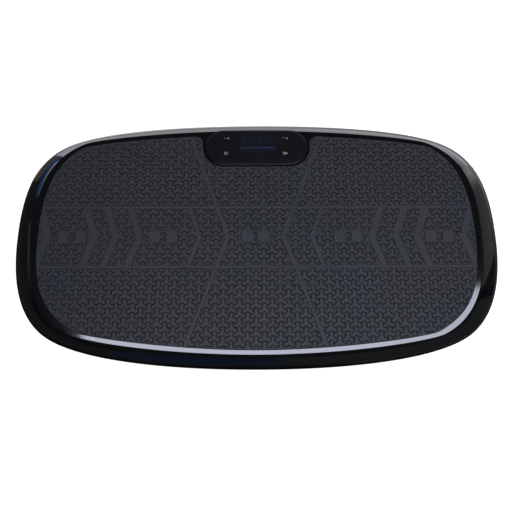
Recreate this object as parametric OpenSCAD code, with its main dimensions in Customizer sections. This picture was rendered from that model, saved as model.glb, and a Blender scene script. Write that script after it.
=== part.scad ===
// Seesaw vibration plate: a rocking platform on a belt-driven eccentric shaft.

/* [Overall] */
// Width across the widest line
plate_w = 761; // [748:1:776]
// Depth across the widest line
plate_d = 404; // [397:1:411]
// Height from the floor to the tread
plate_h = 140; // [138:1:146]

/* [Casings] */
// Wall thickness of the two casings
wall_t = 3; // [2.5:0.1:3.5]
// Thickness of the tread mat
mat_t = 5; // [4:0.5:6]
// How far the mat stands above the glossy land
mat_proud = 1; // [0:0.1:2]
// Height of the rounded edge, from the land down to the widest line
edge_h = 22; // [18:1:25]
// Bottom of the upper casing's skirt
skirt_z = 66; // [62:1:70]
// Top of the lower casing's wall
base_top_z = 80; // [76:1:84]

/* [Panel] */
// Width of the control panel
panel_w = 168.5; // [150:0.5:180]
// Height of the control panel
panel_d = 64.5; // [60:0.5:65]
// Distance of the panel's middle from the plate's middle
panel_y = 152.75; // [152:0.25:153]

/* [Drive] */
// Height of the eccentric shaft's axis
crank_z = 60; // [59:0.5:61]
// Throw of the eccentrics
throw = 3; // [2:0.25:3]
// Height of the seesaw pivot's axis
pivot_z = 100; // [99:0.5:101]
// Distance of each connecting link from the middle
link_x = 215; // [213:1:217]
// Distance of each main bearing from the middle
block_x = 180; // [176:1:182]
// Radius of the large pulley
pulley_r = 36; // [33:0.5:36]
// Radius of the motor's pulley
pinion_r = 12; // [11:0.5:13]
// Distance of the motor's axis behind the eccentric shaft
motor_y = 98; // [96:1:100]

/* [Feet] */
// Sideways distance of the feet from the middle
foot_x = 235; // [225:1:238]
// Distance of the feet from the middle, front to back
foot_y = 98; // [92:1:100]

/* [Hidden] */
$fn = 64;

land_z = plate_h - mat_proud;   // glossy land round the mat
deck_z = plate_h - mat_t;       // floor of the mat's recess
under_z = deck_z - wall_t;      // underside of the upper casing's deck
edge_a = 38;                    // where the rounded edge's arc starts, degrees
plate_z = under_z - 3;          // underside of the steel deck plate
mid_z = land_z - edge_h;        // widest line
floor_z = 12;                   // underside of the lower casing
frame_z = floor_z + wall_t;     // underside of the steel floor plate
frame_top = frame_z + 3;
sx = plate_w / 761.2;
sy = plate_d / 404;
q = 18;                         // points in each quarter of an outline

// An outline's quarter: half width, half depth, joint x, joint y, slope there, and the reach of the four handles.
// Back half first, then the front half, which has slightly tighter corners.
outer_o = [[380.6, 202, 328.7, 155.7, 36, 135, 68, 63.6, 53.6], [380.6, 202, 326.1, 150.5, 36.6, 136, 67.6, 63.2, 48.6]];
crest_o = [[350.7, 183.6, 276.8, 161.3, 22.2, 146, 48.1, 17.5, 83.4], [350.7, 183.1, 279.1, 153.3, 25.3, 137.2, 62.7, 22.6, 64.9]];
mat_o = [[340.6, 175.1, 282.5, 151.4, 31, 118.5, 66, 19, 56.5], [340.6, 175.6, 274.4, 147, 30.5, 120.6, 78.5, 18.5, 59]];

function bez(a, b, c, d, t) = pow(1-t, 3)*a + 3*pow(1-t, 2)*t*b + 3*(1-t)*t*t*c + t*t*t*d;
function quarter(o, t) = let (T = [cos(o[4]), -sin(o[4])], Q = [o[2], o[3]])
    t < 0.5 ? bez([0, o[1]], [o[5], o[1]], Q - o[7]*T, Q, 2*t)
            : bez(Q, Q + o[8]*T, [o[0], o[6]], [o[0], 0], 2*t - 1);
function ring(o) = [for (k = [0:3]) for (i = [0:q-1]) let (h = o[k < 2 ? 0 : 1], p = k % 2 == 0 ? quarter(h, 1 - i/q) : quarter(h, i/q))
    [(k == 0 || k == 3 ? 1 : -1)*p[0]*sx, (k < 2 ? 1 : -1)*p[1]*sy]];
function inset(r, d) = let (n = len(r)) [for (i = [0:n-1]) let (t = r[(i+1) % n] - r[(i+n-1) % n], l = norm(t))
    r[i] - d*[t[1], -t[0]]/l];
function blend(a, b, u) = [for (i = [0:len(a)-1]) a[i] + u*(b[i] - a[i])];

outer = ring(outer_o);
crest = ring(crest_o);
mat = ring(mat_o);

// A skin through a list of [outline, height]. up: the first outline faces down.
module loft(R, up = true) {
    n = len(R[0][0]);
    m = len(R);
    pts = [for (r = R) for (p = r[0]) [p[0], p[1], r[1]]];
    sides = [for (j = [0:m-2]) for (i = [0:n-1]) let (k = (i+1) % n)
        each [[j*n+i, (j+1)*n+i, (j+1)*n+k], [j*n+i, (j+1)*n+k, j*n+k]]];
    caps = [[for (i = [0:n-1]) i], [for (i = [n-1:-1:0]) (m-1)*n+i]];
    f = concat(sides, caps);
    polyhedron(pts, up ? f : [for (x = f) [for (i = [len(x)-1:-1:0]) x[i]]]);
}
module stadium(hw, r, cy) translate([0, cy]) {
    square([2*(hw-r), 2*r], center = true);
    for (s = [-1, 1]) translate([s*(hw-r), 0]) circle(r);
}
// Two circles and the band round them.
module strap2d(r1, r2, d) {
    a = acos((r1-r2)/d);
    circle(r1);
    translate([d, 0]) circle(r2);
    polygon([r1*[cos(a), sin(a)], r1*[cos(a), -sin(a)], [d, 0] + r2*[cos(a), -sin(a)], [d, 0] + r2*[cos(a), sin(a)]]);
}
module xcyl(r, x0, x1, y = 0, z = 0) translate([x0, y, z]) rotate([0, 90, 0]) cylinder(r = r, h = x1-x0);
module ycyl(r, y0, y1, x = 0, z = 0) translate([x, y0, z]) rotate([-90, 0, 0]) cylinder(r = r, h = y1-y0);
module box(a, b) translate(a) cube(b - a);
module bolt(r, l, hr, hh) difference() {          // head above z 0, shank below
    union() { translate([0, 0, -l]) cylinder(r = r, h = l); cylinder(r = hr, h = hh); }
    translate([0, 0, hh*0.4]) cylinder(r = hr*0.5, h = hh, $fn = 6);
}
module tube(P, r, n = 8) {
    m = len(P);
    function dirn(i) = let (v = P[min(i+1, m-1)] - P[max(i-1, 0)]) v/norm(v);
    pts = [for (i = [0:m-1]) let (t = dirn(i), h = abs(t[2]) > 0.9 ? [1, 0, 0] : [0, 0, 1], a = cross(t, h)/norm(cross(t, h)), b = cross(t, a))
        for (k = [0:n-1]) P[i] + r*(cos(k*360/n)*a + sin(k*360/n)*b)];
    f = concat([for (j = [0:m-2]) for (i = [0:n-1]) let (k = (i+1) % n) each [[j*n+i, (j+1)*n+k, (j+1)*n+i], [j*n+i, j*n+k, (j+1)*n+k]]],
        [[for (i = [n-1:-1:0]) i], [for (i = [0:n-1]) (m-1)*n+i]]);
    polyhedron(pts, f);
}
// A smooth route through a few points.
function route(P, k = 4) = let (m = len(P)) [for (i = [0:m-2]) for (j = [0:k-1]) let (t = j/k, a = P[max(i-1, 0)], b = P[i], c = P[i+1], d = P[min(i+2, m-1)])
    0.5*((2*b) + (c-a)*t + (2*a-5*b+4*c-d)*t*t + (3*b-a-3*c+d)*t*t*t), P[m-1]];

// ---------- platform ----------
panel_r = panel_d/2;
notch_hw = panel_w/2 + 3;
notch_r = panel_r + 1.65;
corner_r = 12.4;
corner_c = [notch_hw + corner_r, panel_y + 7.2];
deck_pts = [for (a = [-1, 1]) for (b = [-1, 1]) each [[a*150, b*128], [a*285, b*72]]];

module notch2d(g = 0) {
    stadium(notch_hw + g, notch_r + g, panel_y);
    translate([-(notch_hw - notch_r), panel_y]) square([2*(notch_hw - notch_r), 45]);
    for (s = [-1, 1]) difference() {
        polygon([[s*(notch_hw - notch_r - 0.1), panel_y], [s*(notch_hw + g), panel_y], [s*(notch_hw + g), corner_c[1]], [s*corner_c[0], corner_c[1]],
            [s*corner_c[0], panel_y + 45], [s*(notch_hw - notch_r - 0.1), panel_y + 45]]);
        translate([s*corner_c[0], corner_c[1]]) circle(corner_r - g);
    }
}
// The rounded edge is an arc that starts with a slope, so that a crease runs round the land.
function rim_u(a) = let (b = edge_a + (90 - edge_a)*a) (sin(b) - sin(edge_a))/(1 - sin(edge_a));
function rim_v(a) = let (b = edge_a + (90 - edge_a)*a) (cos(edge_a) - cos(b))/cos(edge_a);
module top_shell() color([0.03, 0.03, 0.035]) difference() {
    union() {
        loft([[inset(mat, -0.4), deck_z], [inset(mat, -0.4), land_z - 0.4], [inset(mat, -0.8), land_z], [crest, land_z],
            for (a = [0.15:0.17:1]) [blend(crest, outer, rim_u(a)), land_z - edge_h*rim_v(a)],
            [inset(outer, 1.2), mid_z - 16], [inset(outer, 4.5), mid_z - 32], [inset(outer, 9), skirt_z + 6], [inset(outer, 12), skirt_z],
            [inset(outer, 12 + wall_t), skirt_z], [inset(outer, 9 + wall_t), skirt_z + 6], [inset(outer, 4.5 + wall_t), mid_z - 32], [inset(outer, 1.2 + wall_t), mid_z - 16],
            for (a = [1, 0.7, 0.4]) [inset(blend(crest, outer, rim_u(a)), wall_t), land_z - edge_h*rim_v(a)],
            [inset(crest, wall_t), under_z]], up = false);
        translate([0, 0, deck_z - 0.1]) linear_extrude(land_z - deck_z + 0.1) intersection() { notch2d(); polygon(inset(crest, 2)); }
    }
    translate([0, 0, deck_z + 1.2]) linear_extrude(10) stadium(panel_w/2, panel_r, panel_y);
    box([-58, panel_y - 14.75, under_z - 5], [58, panel_y + 26.25, deck_z + 5]);
    for (p = deck_pts) translate([p[0], p[1], 0]) {
        translate([0, 0, under_z - 1]) cylinder(r = 2.7, h = 10);
        translate([0, 0, deck_z - 2]) cylinder(r = 5.3, h = 2 + 0.001);
    }
    for (a = [-64, 64]) for (b = [-16, 22]) translate([a, panel_y + b, under_z - 1]) cylinder(r = 1.3, h = 4.2);
}
module tread_mat() color([0.21, 0.215, 0.23]) translate([0, 0, deck_z]) linear_extrude(mat_t) difference() {
    polygon(mat);
    notch2d(0.4);
}
module panel_bezel() color([0.02, 0.02, 0.02]) translate([0, 0, deck_z + 1.2]) linear_extrude(land_z - deck_z - 0.8) difference() {
    stadium(panel_w/2 - 0.1, panel_r - 0.1, panel_y);
    stadium(panel_w/2 - 2.3, panel_r - 2.3, panel_y);
}
module panel_lens() color([0.1, 0.105, 0.12]) translate([0, 0, deck_z + 1.2]) linear_extrude(land_z - deck_z - 1)
    stadium(panel_w/2 - 2.4, panel_r - 2.4, panel_y);
module display_board() color([0.05, 0.3, 0.15]) difference() {
    union() {
        box([-70, panel_y - 20.75, under_z - 1.8], [70, panel_y + 27.25, under_z - 0.2]);
        box([-52, panel_y - 9, under_z - 6], [-38, panel_y - 2, under_z - 1.79]);
        box([-3, panel_y - 12.5, under_z - 0.21], [3, panel_y - 8, deck_z + 0.6]);     // infrared receiver
    }
    for (a = [-64, 64]) for (b = [-16, 22]) translate([a, panel_y + b, under_z - 4]) cylinder(r = 1.6, h = 8);
}
module display_module() color([0.1, 0.12, 0.25]) box([-32, panel_y - 7.5, under_z - 0.2], [32, panel_y + 25, deck_z + 1.1]);
module touch_springs() color([0.75, 0.75, 0.78]) for (s = [-48, 48]) for (y = [-10.25, 17.5]) translate([s, panel_y + y, under_z - 0.2]) difference() {
    cylinder(r = 3.5, h = deck_z + 1.1 - under_z + 0.2);
    translate([0, 0, -1]) cylinder(r = 2.6, h = 20);
}
module display_screws() color([0.6, 0.6, 0.62]) for (a = [-64, 64]) for (b = [-16, 22]) translate([a, panel_y + b, under_z - 1.8]) rotate([180, 0, 0]) bolt(1.25, 4.6, 2.6, 1.6);
module deck_plate() color([0.35, 0.36, 0.38]) translate([0, 0, plate_z]) linear_extrude(3) difference() {
    polygon(inset(mat, 26));
    translate([-78, panel_y - 31]) square([156, 80]);
    for (p = deck_pts) translate(p) circle(2.55);
}
module deck_channels() color([0.33, 0.34, 0.36]) for (s = [-1, 1]) translate([-195, s*60, 0]) difference() {
    box([0, -15, plate_z - 18], [390, 15, plate_z]);
    box([-1, -12.5, plate_z - 15.5], [391, 12.5, plate_z + 1]);
}
module deck_screws() color([0.6, 0.6, 0.62]) for (p = deck_pts) translate([p[0], p[1], deck_z - 2]) bolt(2.5, 12, 5, 1.8);
module pivot_hangers() color([0.3, 0.31, 0.33]) for (s = [-1, 1]) difference() {
    union() {
        box([-24, s*105 - 12, plate_z - 5], [24, s*105 + 12, plate_z]);
        box([-16, s*105 - 6, pivot_z], [16, s*105 + 6, plate_z - 4.9]);
        ycyl(16, s*105 - 6, s*105 + 6, 0, pivot_z);
    }
    ycyl(11.02, s*105 - 10, s*105 + 10, 0, pivot_z);
}
module pivot_bushes() color([0.72, 0.55, 0.25]) for (s = [-1, 1]) difference() {
    union() {
        ycyl(11, s*105 - 6, s*105 + 6, 0, pivot_z);
        ycyl(13, s > 0 ? 97.5 : -99, s > 0 ? 99 : -97.5, 0, pivot_z);
    }
    ycyl(8.05, s*105 - 10, s*105 + 10, 0, pivot_z);
}
module link_clevises() color([0.3, 0.31, 0.33]) for (s = [-1, 1]) translate([s*link_x, 0, 0]) difference() {
    union() {
        box([-17, -18, plate_z - 3], [17, 18, plate_z]);
        for (e = [-1, 1]) {
            box([e*9 - 2, -12, pivot_z], [e*9 + 2, 12, plate_z - 2.9]);
            xcyl(12, e*9 - 2, e*9 + 2, 0, pivot_z);
        }
    }
    xcyl(4.52, -20, 20, 0, pivot_z);
}
module link_pins() color([0.7, 0.7, 0.72]) for (s = [-1, 1]) translate([s*link_x, 0, 0]) {
    xcyl(4.5, -13, 13, 0, pivot_z);
    xcyl(7, s > 0 ? 13 : -16, s > 0 ? 16 : -13, 0, pivot_z);
}
module link_bushes() color([0.06, 0.06, 0.06]) for (s = [-1, 1]) translate([s*link_x, 0, 0]) difference() {
    xcyl(12.98, -4.8, 4.8, 0, pivot_z);
    xcyl(4.53, -6, 6, 0, pivot_z);
}

// ---------- base ----------
module bowl() loft([[inset(outer, 64), floor_z], [inset(outer, 58), floor_z + 2], [inset(outer, 46), 26], [inset(outer, 36), 42], [inset(outer, 29), 58], [inset(outer, 25), 70], [inset(outer, 24), base_top_z]]);
module hollow() loft([[inset(outer, 62 + wall_t), frame_z], [inset(outer, 46 + wall_t), 28], [inset(outer, 36 + wall_t), 43], [inset(outer, 29 + wall_t), 58], [inset(outer, 25 + wall_t), 70], [inset(outer, 24 + wall_t), base_top_z + 1]]);
module base_shell() color([0.07, 0.07, 0.075]) difference() {
    union() {
        difference() { bowl(); hollow(); }
        intersection() { bowl(); box([-52, 156, 28], [52, 210, 78]); }
    }
    box([-48, 159, 32], [48, 220, 74]);
    box([-36, 150, 42.8], [-8, 165, 63.2]);
    box([17.4, 150, 43.4], [30.6, 165, 62.6]);
    for (a = [-1, 1]) for (b = [-1, 1]) translate([a*foot_x, b*foot_y, 0]) cylinder(r = 3.3, h = 30);
    for (i = [-4:4]) box([i*16 - 2.5, -57, 5], [i*16 + 2.5, -27, 20]);
}
module base_frame() color([0.4, 0.41, 0.43]) translate([0, 0, frame_z]) linear_extrude(3) difference() {
    intersection() {
        polygon(inset(outer, 66));
        square([2*258, 300], center = true);
    }
    for (a = [-1, 1]) for (b = [-1, 1]) {
        translate([a*foot_x, b*foot_y]) circle(3.2);
        translate([a*block_x, b*33]) circle(3.05);
        translate([a*18, b*120]) circle(3.05);
    }
    square([150, 124], center = true);
    for (b = [-122, -74]) translate([104, b]) circle(2.55);
}
module suction_feet() color([0.09, 0.09, 0.1]) for (a = [-1, 1]) for (b = [-1, 1]) translate([a*foot_x, b*foot_y, 0])
    rotate_extrude() polygon([[3.2, 7], [6.5, 7], [6.5, 4.5], [13, 3], [17.5, 0], [19.5, 0], [19.5, 1.5], [16.5, 6.5], [15.5, floor_z], [3.2, floor_z]]);
module foot_screws() color([0.6, 0.6, 0.62]) for (a = [-1, 1]) for (b = [-1, 1]) translate([a*foot_x, b*foot_y, 7]) rotate([180, 0, 0]) bolt(3, 19, 6, 2.6);
module foot_nuts() color([0.6, 0.6, 0.62]) for (a = [-1, 1]) for (b = [-1, 1]) translate([a*foot_x, b*foot_y, 0]) difference() {
    translate([0, 0, frame_top]) { cylinder(r = 8.5, h = 1); cylinder(r = 5.8, h = 6, $fn = 6); }
    translate([0, 0, 10]) cylinder(r = 3.05, h = 20);
}
module pivot_posts() color([0.3, 0.31, 0.33]) for (s = [-1, 1]) difference() {
    union() {
        box([-28, s*120 - 6, frame_top], [28, s*120 + 6, frame_top + 6]);
        translate([0, s*120 + 4.5, 0]) rotate([90, 0, 0]) linear_extrude(9) polygon([[-26, frame_top + 5], [26, frame_top + 5], [14, pivot_z], [-14, pivot_z]]);
        ycyl(14, s*120 - 4.5, s*120 + 4.5, 0, pivot_z);
    }
    ycyl(8.02, s*120 - 20, s*120 + 20, 0, pivot_z);
    for (t = [-1, 1]) translate([t*18, s*120, frame_top - 1]) cylinder(r = 3.1, h = 7.01);
    for (t = [-1, 1]) box([t*18 - 6.5, s*120 - 7, frame_top + 6], [t*18 + 6.5, s*120 + 7, frame_top + 14]);
}
module post_bolts() color([0.6, 0.6, 0.62]) for (s = [-1, 1]) for (t = [-1, 1]) translate([t*18, s*120, frame_top + 6]) bolt(3, 8.9, 5, 4);
module pivot_shaft() color([0.62, 0.63, 0.65]) difference() {
    ycyl(8, -130, 130, 0, pivot_z);
    for (s = [-1, 1]) difference() {
        ycyl(9, s*126.5 - 0.8, s*126.5 + 0.8, 0, pivot_z);
        ycyl(7.3, s*126.5 - 2, s*126.5 + 2, 0, pivot_z);
    }
}
module shaft_circlips() color([0.25, 0.25, 0.26]) for (s = [-1, 1]) difference() {
    ycyl(11, s*126.5 - 0.7, s*126.5 + 0.7, 0, pivot_z);
    ycyl(7.35, s*126.5 - 2, s*126.5 + 2, 0, pivot_z);
    box([-2.5, s*126.5 - 3, pivot_z - 14], [2.5, s*126.5 + 3, pivot_z]);
}
module bearing_blocks() color([0.3, 0.31, 0.33]) for (s = [-1, 1]) translate([s*block_x, 0, 0]) difference() {
    union() {
        box([-13, -41, frame_top], [13, 41, frame_top + 8]);
        box([-7, -26, frame_top + 7], [7, 26, crank_z]);
        xcyl(26, -7, 7, 0, crank_z);
    }
    xcyl(20.02, -6.1, 10, 0, crank_z);
    xcyl(13, -20, 0, 0, crank_z);
    for (t = [-1, 1]) translate([0, t*33, 0]) cylinder(r = 3.1, h = 40);
}
module block_bolts() color([0.6, 0.6, 0.62]) for (s = [-1, 1]) for (t = [-1, 1]) translate([s*block_x, t*33, frame_top + 8]) bolt(3, 10.9, 5, 5);
module bearing_outer_rings() color([0.75, 0.76, 0.78]) for (s = [-1, 1]) translate([s*block_x, 0, crank_z]) rotate([0, 90, 0]) rotate_extrude() difference() {
    translate([16.4, -6]) square([3.6, 12]);
    translate([14.25, 0]) circle(3.3);
}
module bearing_balls() color([0.8, 0.8, 0.82]) for (s = [-1, 1]) for (i = [0:7]) translate([s*block_x, 14.25*cos(i*45), crank_z + 14.25*sin(i*45)]) sphere(r = 3.2, $fn = 32);
module motor_bracket() color([0.3, 0.31, 0.33]) difference() {
    union() {
        box([84, -motor_y - 38, frame_top], [88, -motor_y + 38, crank_z + 36]);
        box([87.9, -motor_y - 28, frame_top], [120, -motor_y + 28, frame_top + 3]);
    }
    xcyl(13, 80, 90, -motor_y, crank_z);
    for (i = [0:3]) xcyl(2.7, 80, 90, -motor_y + 24*cos(45 + 90*i), crank_z + 24*sin(45 + 90*i));
    for (b = [-24, 24]) translate([104, -motor_y + b, 10]) cylinder(r = 2.7, h = 20);
}
module motor_can() color([0.16, 0.16, 0.17]) difference() {
    xcyl(38, 92, 208, -motor_y, crank_z);
    xcyl(35.5, 91, 205, -motor_y, crank_z);
    xcyl(5.06, 200, 210, -motor_y, crank_z);
}
module motor_end_plate() color([0.55, 0.56, 0.58]) difference() {
    union() { xcyl(38, 88, 92, -motor_y, crank_z); xcyl(12.8, 84, 88.1, -motor_y, crank_z); xcyl(35.4, 91.9, 95, -motor_y, crank_z); }
    xcyl(5.06, 80, 100, -motor_y, crank_z);
    for (i = [0:3]) xcyl(2.52, 80, 93.5, -motor_y + 24*cos(45 + 90*i), crank_z + 24*sin(45 + 90*i));
}
module motor_magnets() color([0.2, 0.2, 0.22]) difference() {
    xcyl(35.4, 105, 185, -motor_y, crank_z);
    xcyl(31, 100, 190, -motor_y, crank_z);
    for (b = [0, 90]) translate([0, -motor_y, crank_z]) rotate([b, 0, 0]) box([100, -4, -40], [190, 4, 40]);
}
module motor_bolts() color([0.6, 0.6, 0.62]) {
    for (i = [0:3]) translate([84, -motor_y + 24*cos(45 + 90*i), crank_z + 24*sin(45 + 90*i)]) rotate([0, -90, 0]) bolt(2.5, 9, 4.2, 3);
    for (b = [-24, 24]) translate([104, -motor_y + b, frame_top + 3]) bolt(2.5, 5.9, 4.2, 2.6);
}
module drive_belt() color([0.05, 0.05, 0.05]) translate([63.5, 0, crank_z]) rotate([0, 90, 0]) rotate([0, 0, -90]) linear_extrude(13) difference() {
    strap2d(pulley_r + 3.1, pinion_r + 3.1, motor_y);
    strap2d(pulley_r + 0.3, pinion_r + 0.3, motor_y);
}
board_pts = [for (a = [-199, -106]) for (b = [-114, -51]) [a, b]];
board_z = frame_top + 8;
module power_board() color([0.05, 0.3, 0.15]) difference() {
    box([-205, -120, board_z], [-100, -45, board_z + 1.6]);
    for (p = board_pts) translate([p[0], p[1], board_z - 1]) cylinder(r = 1.7, h = 5);
}
module board_components() {
    z = board_z + 1.6;
    color([0.1, 0.1, 0.3]) for (p = [[-120, -70], [-120, -92]]) translate([p[0], p[1], z]) cylinder(r = 9, h = 28);
    color([0.1, 0.1, 0.3]) translate([-140, -66, z]) cylinder(r = 5, h = 14);
    color([0.1, 0.4, 0.7]) box([-190, -108, z], [-171, -92, z + 15]);
    color([0.9, 0.9, 0.85]) box([-150, -56, z], [-130, -47, z + 10]);
    color([0.9, 0.9, 0.85]) box([-117, -58, z], [-112, -47, z + 8]);
    color([0.9, 0.9, 0.85]) box([-108, -90, z], [-101, -70, z + 10]);
}
module board_transformer() color([0.85, 0.75, 0.2]) union() {
    box([-192, -82, board_z + 1.6], [-160, -56, board_z + 8]);
    box([-188, -80, board_z + 7.9], [-164, -58, board_z + 26]);
}
module heatsink() color([0.7, 0.71, 0.73]) union() {
    box([-163, -116, board_z + 1.6], [-133, -112, board_z + 30]);
    for (i = [0:5]) box([-163 + i*5.6, -112.1, board_z + 1.6], [-161 + i*5.6, -100, board_z + 30]);
}
module board_standoffs() color([0.85, 0.85, 0.8]) for (p = board_pts) translate([p[0], p[1], frame_top]) difference() {
    cylinder(r = 3.6, h = 8);
    translate([0, 0, 2]) cylinder(r = 1.52, h = 10);
}
module board_screws() color([0.6, 0.6, 0.62]) for (p = board_pts) translate([p[0], p[1], board_z + 1.6]) bolt(1.5, 7, 2.8, 1.8);
module power_inlet() color([0.05, 0.05, 0.055]) translate([-22, 0, 53]) difference() {
    union() { box([-15.5, 159, -12], [15.5, 161.5, 12]); box([-13.8, 139, -10], [13.8, 159.1, 10]); }
    difference() {
        box([-12, 143, -8.3], [12, 170, 8.3]);
        for (s = [-1, 1]) translate([s*12, 140, 8.3]) rotate([-90, 0, 0]) cylinder(r = 4.2, h = 40, $fn = 4);
    }
    for (p = [[-7, -2], [7, -2], [0, 3]]) box([p[0] - 1.02, 135, p[1] - 2.02], [p[0] + 1.02, 144, p[1] + 2.02]);
}
module inlet_pins() color([0.8, 0.75, 0.55]) translate([-22, 0, 53]) for (p = [[-7, -2], [7, -2], [0, 3]]) box([p[0] - 1, 134, p[1] - 2], [p[0] + 1, 157, p[1] + 2]);
module switch_housing() color([0.06, 0.06, 0.065]) translate([24, 0, 53]) difference() {
    union() { box([-8, 159, -11.6], [8, 161, 11.6]); box([-6.5, 146, -9.5], [6.5, 159.1, 9.5]); }
    box([-5.3, 148, -9], [5.3, 165, 9]);
    xcyl(1.25, -6.2, 6.2, 157, 0);
}
module switch_rocker() color([0.55, 0.06, 0.05]) translate([24, 157, 53]) rotate([-8, 0, 0]) {
    rotate([90, 0, 90]) translate([0, 0, -4.9]) linear_extrude(9.8) polygon([[-3, -3], [-3, 3], [0, 7.8], [6.6, 7.8], [5.2, 0], [6.6, -7.8], [0, -7.8]]);
    xcyl(1.2, -6, 6, 0, 0);
}
module mains_lead() color([0.08, 0.08, 0.08]) {
    tube(route([[-22, 133, 51], [-34, 128, 46], [-46, 112, 36], [-60, 90, 26], [-78, 60, 22], [-100, 25, 22], [-112, -5, 22], [-114, -28, 27], [-114.5, -40, 31.5], [-114.5, -46.5, 31.6]], 3), 2.6);
    tube(route([[-15, 133, 56], [-6, 129.5, 58], [8, 129.5, 58], [20, 134, 54], [24, 141, 53], [24, 145.6, 53]]), 2);
}
module motor_lead() color([0.08, 0.08, 0.08])
    tube(route([[-99, -80, 34], [-90, -90, 28], [-70, -120, 23], [-40, -134, 23], [0, -135, 23], [60, -138, 25], [120, -141, 31], [180, -142, 41], [208, -137, 47], [220, -122, 53], [219, -108, 57], [214, -104, 58], [208.6, -104, 58]], 3), 2.4);
module display_lead() color([0.08, 0.08, 0.08])
    tube(route([[-140, -46.5, 33], [-140, -40, 32.5], [-140, -28, 26], [-136, 0, 22], [-118, 45, 22], [-90, 92, 26], [-62, 122, 42], [-50, 134, 76], [-46, 141, 108], [-45, 145, under_z - 8]], 3), 2);

// ---------- eccentric shaft ----------
module crankshaft() color([0.62, 0.63, 0.65]) xcyl(8.5, -226, 226, 0, crank_z);
// Left eccentric forward, right eccentric back, both level with the shaft.
module eccentric_hubs() color([0.5, 0.51, 0.53]) for (s = [-1, 1]) translate([s*link_x, 0, crank_z]) difference() {
    union() { xcyl(15, -7, 7, -s*throw, 0); xcyl(13, s > 0 ? -14 : 6.9, s > 0 ? -6.9 : 14, 0, 0); }
    xcyl(8.52, -20, 20, 0, 0);
    translate([-s*10.5, 0, 0]) cylinder(r = 2.05, h = 20);
}
module hub_set_screws() color([0.25, 0.25, 0.26]) for (s = [-1, 1]) translate([s*link_x - s*10.5, 0, crank_z + 8.6]) difference() {
    cylinder(r = 2, h = 4.2);
    translate([0, 0, 2]) cylinder(r = 1, h = 4, $fn = 6);
}
module pulley(r, bore, hub, w0, w1) rotate([0, 90, 0]) rotate_extrude() difference() {
    union() {
        translate([bore, 0]) square([r - bore, 16]);
        if (hub > 0) translate([bore, w0]) square([hub - bore, w1 - w0]);
    }
    for (i = [0:4]) polygon([[r + 0.01, 1.8 + i*2.6], [r + 0.01, 3.8 + i*2.6], [r - 1.6, 2.8 + i*2.6]]);
    if (hub > 0) for (z = [-1, 12]) translate([hub + 3, z]) square([r - hub - 10, 5]);
}
module crank_pulley() color([0.55, 0.56, 0.58]) translate([62, 0, crank_z]) difference() {
    pulley(pulley_r, 8.52, 15, -4, 20);
    for (i = [0:5]) xcyl(4, -5, 25, 22.5*cos(i*60), 22.5*sin(i*60));
}
module bearing_inner_rings() color([0.75, 0.76, 0.78]) {
    for (s = [-1, 1]) translate([s*block_x, 0, crank_z]) rotate([0, 90, 0]) rotate_extrude() difference() {
        translate([8.52, -6]) square([3.58, 12]);
        translate([14.25, 0]) circle(3.3);
    }
    for (s = [-1, 1]) translate([s*link_x, -s*throw, crank_z]) rotate([0, 90, 0]) rotate_extrude() translate([15.02, -3.5]) square([1.88, 7]);
}

// ---------- links ----------
module link(s) translate([s*link_x - 5, 0, 0]) difference() {
    l = norm([throw, pivot_z - crank_z]);
    translate([0, -s*throw, crank_z]) rotate([0, 90, 0]) rotate([0, 0, 180 - s*asin(throw/l)]) linear_extrude(10) difference() {
        strap2d(27, 16.5, l);
        circle(21.02);
        translate([l, 0]) circle(13);
    }
}
module link_bearing(s) translate([s*link_x, -s*throw, crank_z]) {
    rotate([0, 90, 0]) rotate_extrude() translate([19.1, -3.5]) square([1.9, 7]);
    for (i = [0:15]) translate([0, 18*cos(i*22.5), 18*sin(i*22.5)]) sphere(r = 1.05, $fn = 24);
}
module link_left() color([0.45, 0.46, 0.48]) link(-1);
module link_bearing_left() color([0.75, 0.76, 0.78]) link_bearing(-1);
module link_right() color([0.45, 0.46, 0.48]) link(1);
module link_bearing_right() color([0.75, 0.76, 0.78]) link_bearing(1);

// ---------- motor's rotor ----------
module motor_shaft() color([0.62, 0.63, 0.65]) xcyl(5, 58, 207, -motor_y, crank_z);
module rotor_core() color([0.45, 0.35, 0.25]) difference() {
    union() { xcyl(30, 108, 182, -motor_y, crank_z); xcyl(13, 184, 198, -motor_y, crank_z); xcyl(10, 181.9, 184.1, -motor_y, crank_z); }
    xcyl(5.02, 55, 204, -motor_y, crank_z);
    for (i = [0:11]) translate([0, -motor_y, crank_z]) rotate([i*30, 0, 0]) box([107, -1.5, 24], [183, 1.5, 31]);
}
module motor_pulley() color([0.55, 0.56, 0.58]) translate([62, -motor_y, crank_z]) pulley(pinion_r, 5.02, 0, 0, 0);

top_shell();
tread_mat();
panel_bezel();
panel_lens();
display_board();
display_module();
touch_springs();
display_screws();
deck_plate();
deck_channels();
deck_screws();
pivot_hangers();
pivot_bushes();
link_clevises();
link_pins();
link_bushes();
base_shell();
base_frame();
suction_feet();
foot_screws();
foot_nuts();
pivot_posts();
post_bolts();
pivot_shaft();
shaft_circlips();
bearing_blocks();
block_bolts();
bearing_outer_rings();
bearing_balls();
motor_bracket();
motor_can();
motor_end_plate();
motor_magnets();
motor_bolts();
drive_belt();
power_board();
board_components();
board_transformer();
heatsink();
board_standoffs();
board_screws();
power_inlet();
inlet_pins();
switch_housing();
mains_lead();
motor_lead();
display_lead();
crankshaft();
eccentric_hubs();
hub_set_screws();
crank_pulley();
bearing_inner_rings();
link_left();
link_bearing_left();
link_right();
link_bearing_right();
motor_shaft();
rotor_core();
motor_pulley();
switch_rocker();
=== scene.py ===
import bpy, bmesh, math
import numpy as np
from mathutils import Vector, Matrix, Quaternion
from mathutils.geometry import delaunay_2d_cdt


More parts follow.
